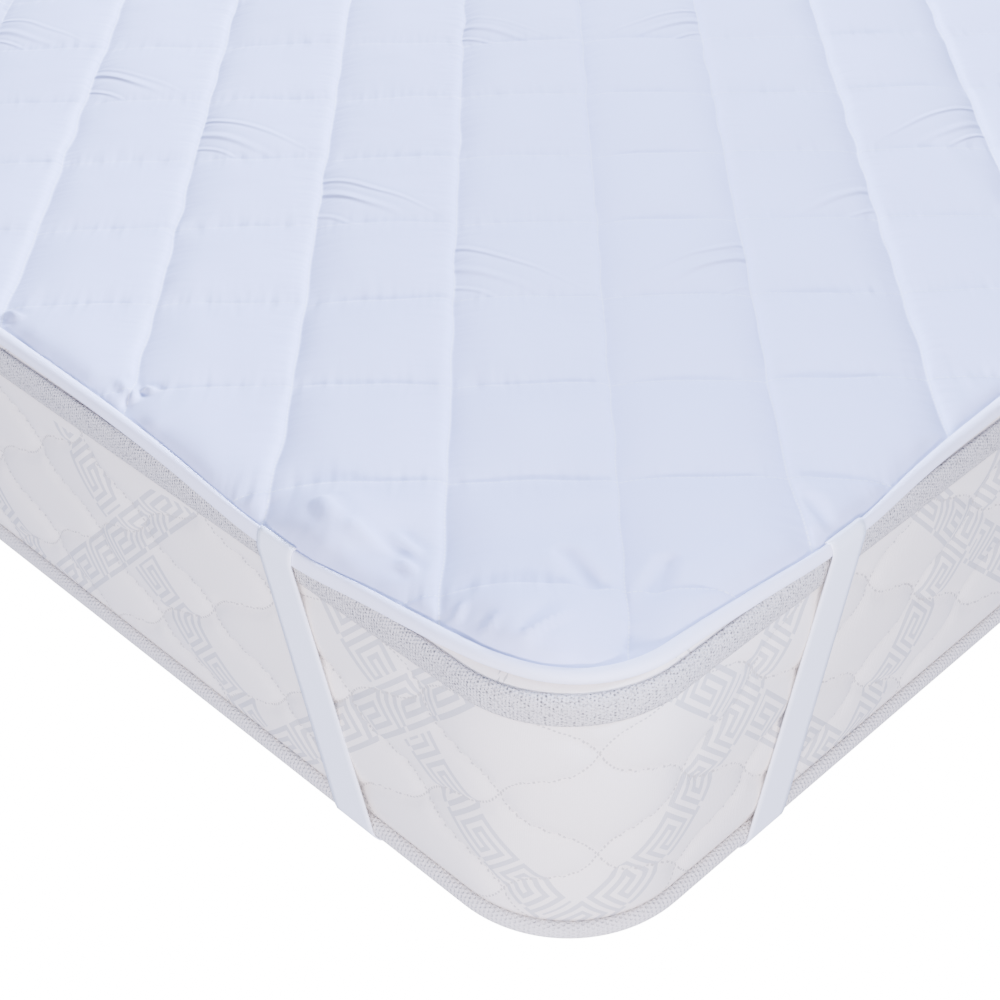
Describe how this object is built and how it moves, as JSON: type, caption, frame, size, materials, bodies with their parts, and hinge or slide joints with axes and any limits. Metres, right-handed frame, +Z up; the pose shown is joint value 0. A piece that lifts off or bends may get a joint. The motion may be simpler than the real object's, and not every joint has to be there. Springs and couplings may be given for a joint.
{
  "type": "quilted mattress protector on a mattress",
  "caption": "Quilted mattress protector with a bound rim and flat elastic corner straps, lying on its single mattress.",
  "frame": {"origin": "middle of the mattress's underside, on the surface it stands on", "axes": "+Z up, +Y along the mattress's length, +X along its width"},
  "size_m": [0.908, 2.0124, 0.1876],
  "materials": {
    "protector_cotton": "matt plain weave, quilted",
    "binding_tape": "smooth folded tape",
    "elastic": "flat ribbed elastic",
    "mattress_ticking": "figured knit, softly quilted",
    "mattress_tape": "coarse woven edge tape"
  },
  "bodies": {
    "root": {"quilted_pad": "protector_cotton", "pad_binding": "binding_tape", "strap_front_left": "elastic", "strap_front_right": "elastic", "strap_back_right": "elastic", "strap_back_left": "elastic", "mattress_body": "mattress_ticking", "top_edge_tape": "mattress_tape", "bottom_edge_tape": "mattress_tape"}
  },
  "joints": []
}
